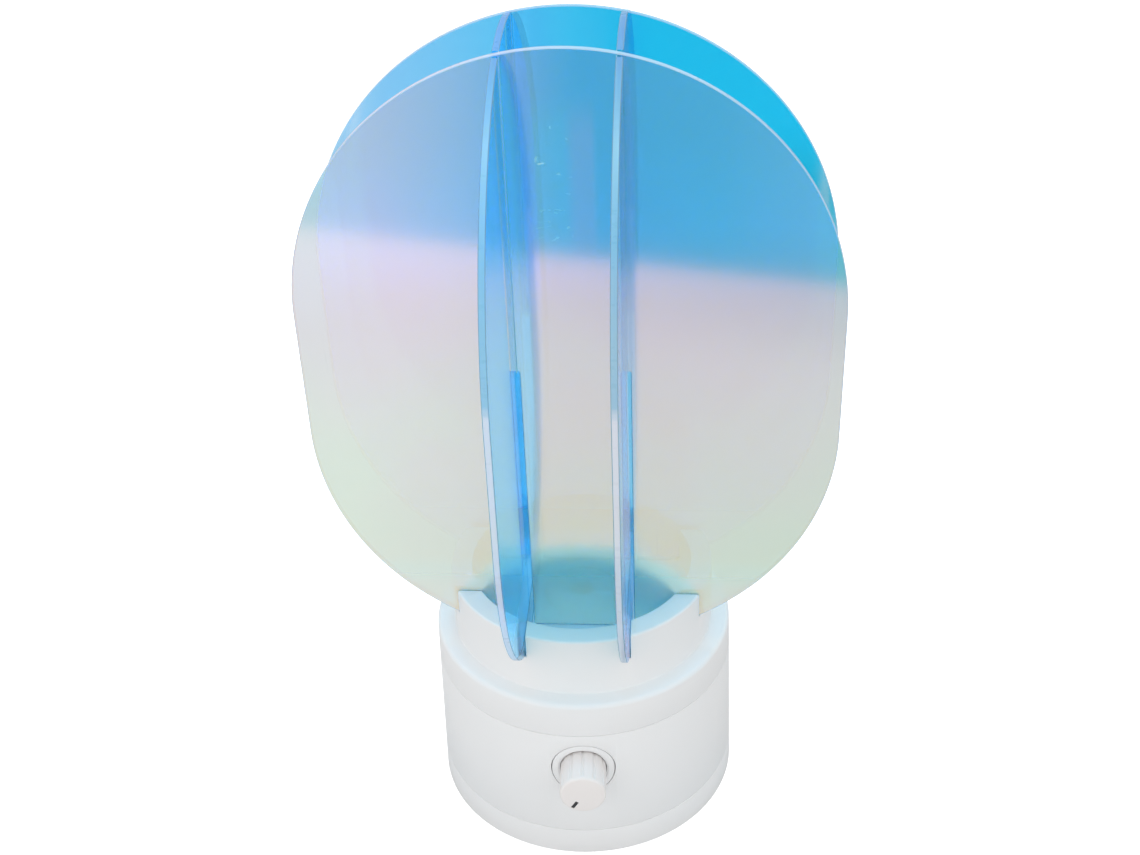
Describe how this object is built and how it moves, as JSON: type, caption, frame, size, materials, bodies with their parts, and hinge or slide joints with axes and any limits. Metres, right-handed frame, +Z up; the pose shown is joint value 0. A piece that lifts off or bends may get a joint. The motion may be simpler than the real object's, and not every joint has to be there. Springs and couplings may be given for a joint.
{
  "type": "led night light",
  "caption": "Night light with crossed iridescent acrylic panels standing in a slotted collar on a round base with a dimmer dial.",
  "frame": {"origin": "centre of the footprint on the surface that the feet stand on", "axes": "+Z up, -Y towards the dial, +X to the right as seen from the dial's side"},
  "size_m": [0.16, 0.16, 0.2663],
  "materials": {
    "panel_acrylic": "polished iridescent",
    "white_plastic": "fine satin moulding",
    "black_plastic": "satin",
    "foot_rubber": "matte",
    "steel": "zinc plated",
    "brass": "plain",
    "aluminium": "satin",
    "circuit_board": "solder resist",
    "clear_lens": "clear",
    "phosphor": "matte",
    "cable_sheath": "matte"
  },
  "bodies": {
    "base": {"top_cover": "white_plastic", "base_housing": "white_plastic", "bottom_cover": "white_plastic", "foot_1": "foot_rubber", "foot_2": "foot_rubber", "foot_3": "foot_rubber", "foot_4": "foot_rubber", "ballast_weight": "steel", "ballast_screw": "steel", "bottom_screw_1": "steel", "bottom_screw_2": "steel", "bottom_screw_3": "steel", "bottom_screw_4": "steel", "top_screw_1": "steel", "top_screw_2": "steel", "top_screw_3": "steel", "led_lens": "clear_lens", "reflector_cup": "white_plastic", "led_board": "aluminium", "led_emitter": "phosphor", "led_dome": "clear_lens", "heat_sink": "aluminium", "heat_sink_screw_1": "steel", "heat_sink_screw_2": "steel", "knob_bezel": "white_plastic", "pot_bushing": "brass", "pot_body": "steel", "pot_washer": "steel", "pot_nut": "brass", "pot_bracket": "steel", "bracket_screw_1": "steel", "bracket_screw_2": "steel", "control_board": "circuit_board", "board_screw_1": "steel", "board_screw_2": "steel", "board_screw_3": "steel", "board_screw_4": "steel", "driver_chip": "black_plastic", "inductor": "black_plastic", "capacitor": "aluminium", "led_connector": "white_plastic", "dial_connector": "white_plastic", "dc_inlet": "black_plastic", "led_cable": "cable_sheath", "dial_cable": "cable_sheath"},
    "dial": {"dimmer_knob": "white_plastic", "knob_pointer": "black_plastic", "pot_shaft": "steel"},
    "side_panels": {"left_panel": "panel_acrylic", "right_panel": "panel_acrylic"},
    "front_panel": {"front_panel": "panel_acrylic"},
    "rear_panel": {"rear_panel": "panel_acrylic"}
  },
  "joints": [
    {"name": "dial_turn", "type": "hinge", "parent": "base", "child": "dial", "pos_m": [0, 0, 0.0376], "axis": [-0.0454, 0.999, 0], "range_deg": [0, 300]},
    {"name": "panel_nest_lift", "type": "slide", "parent": "base", "child": "side_panels", "axis": [0, 0, 1], "range_m": [0, 0.03]},
    {"name": "front_panel_lift", "type": "slide", "parent": "side_panels", "child": "front_panel", "axis": [0, 0, 1], "range_m": [0, 0.2]},
    {"name": "rear_panel_lift", "type": "slide", "parent": "side_panels", "child": "rear_panel", "axis": [0, 0, 1], "range_m": [0, 0.2]}
  ]
}
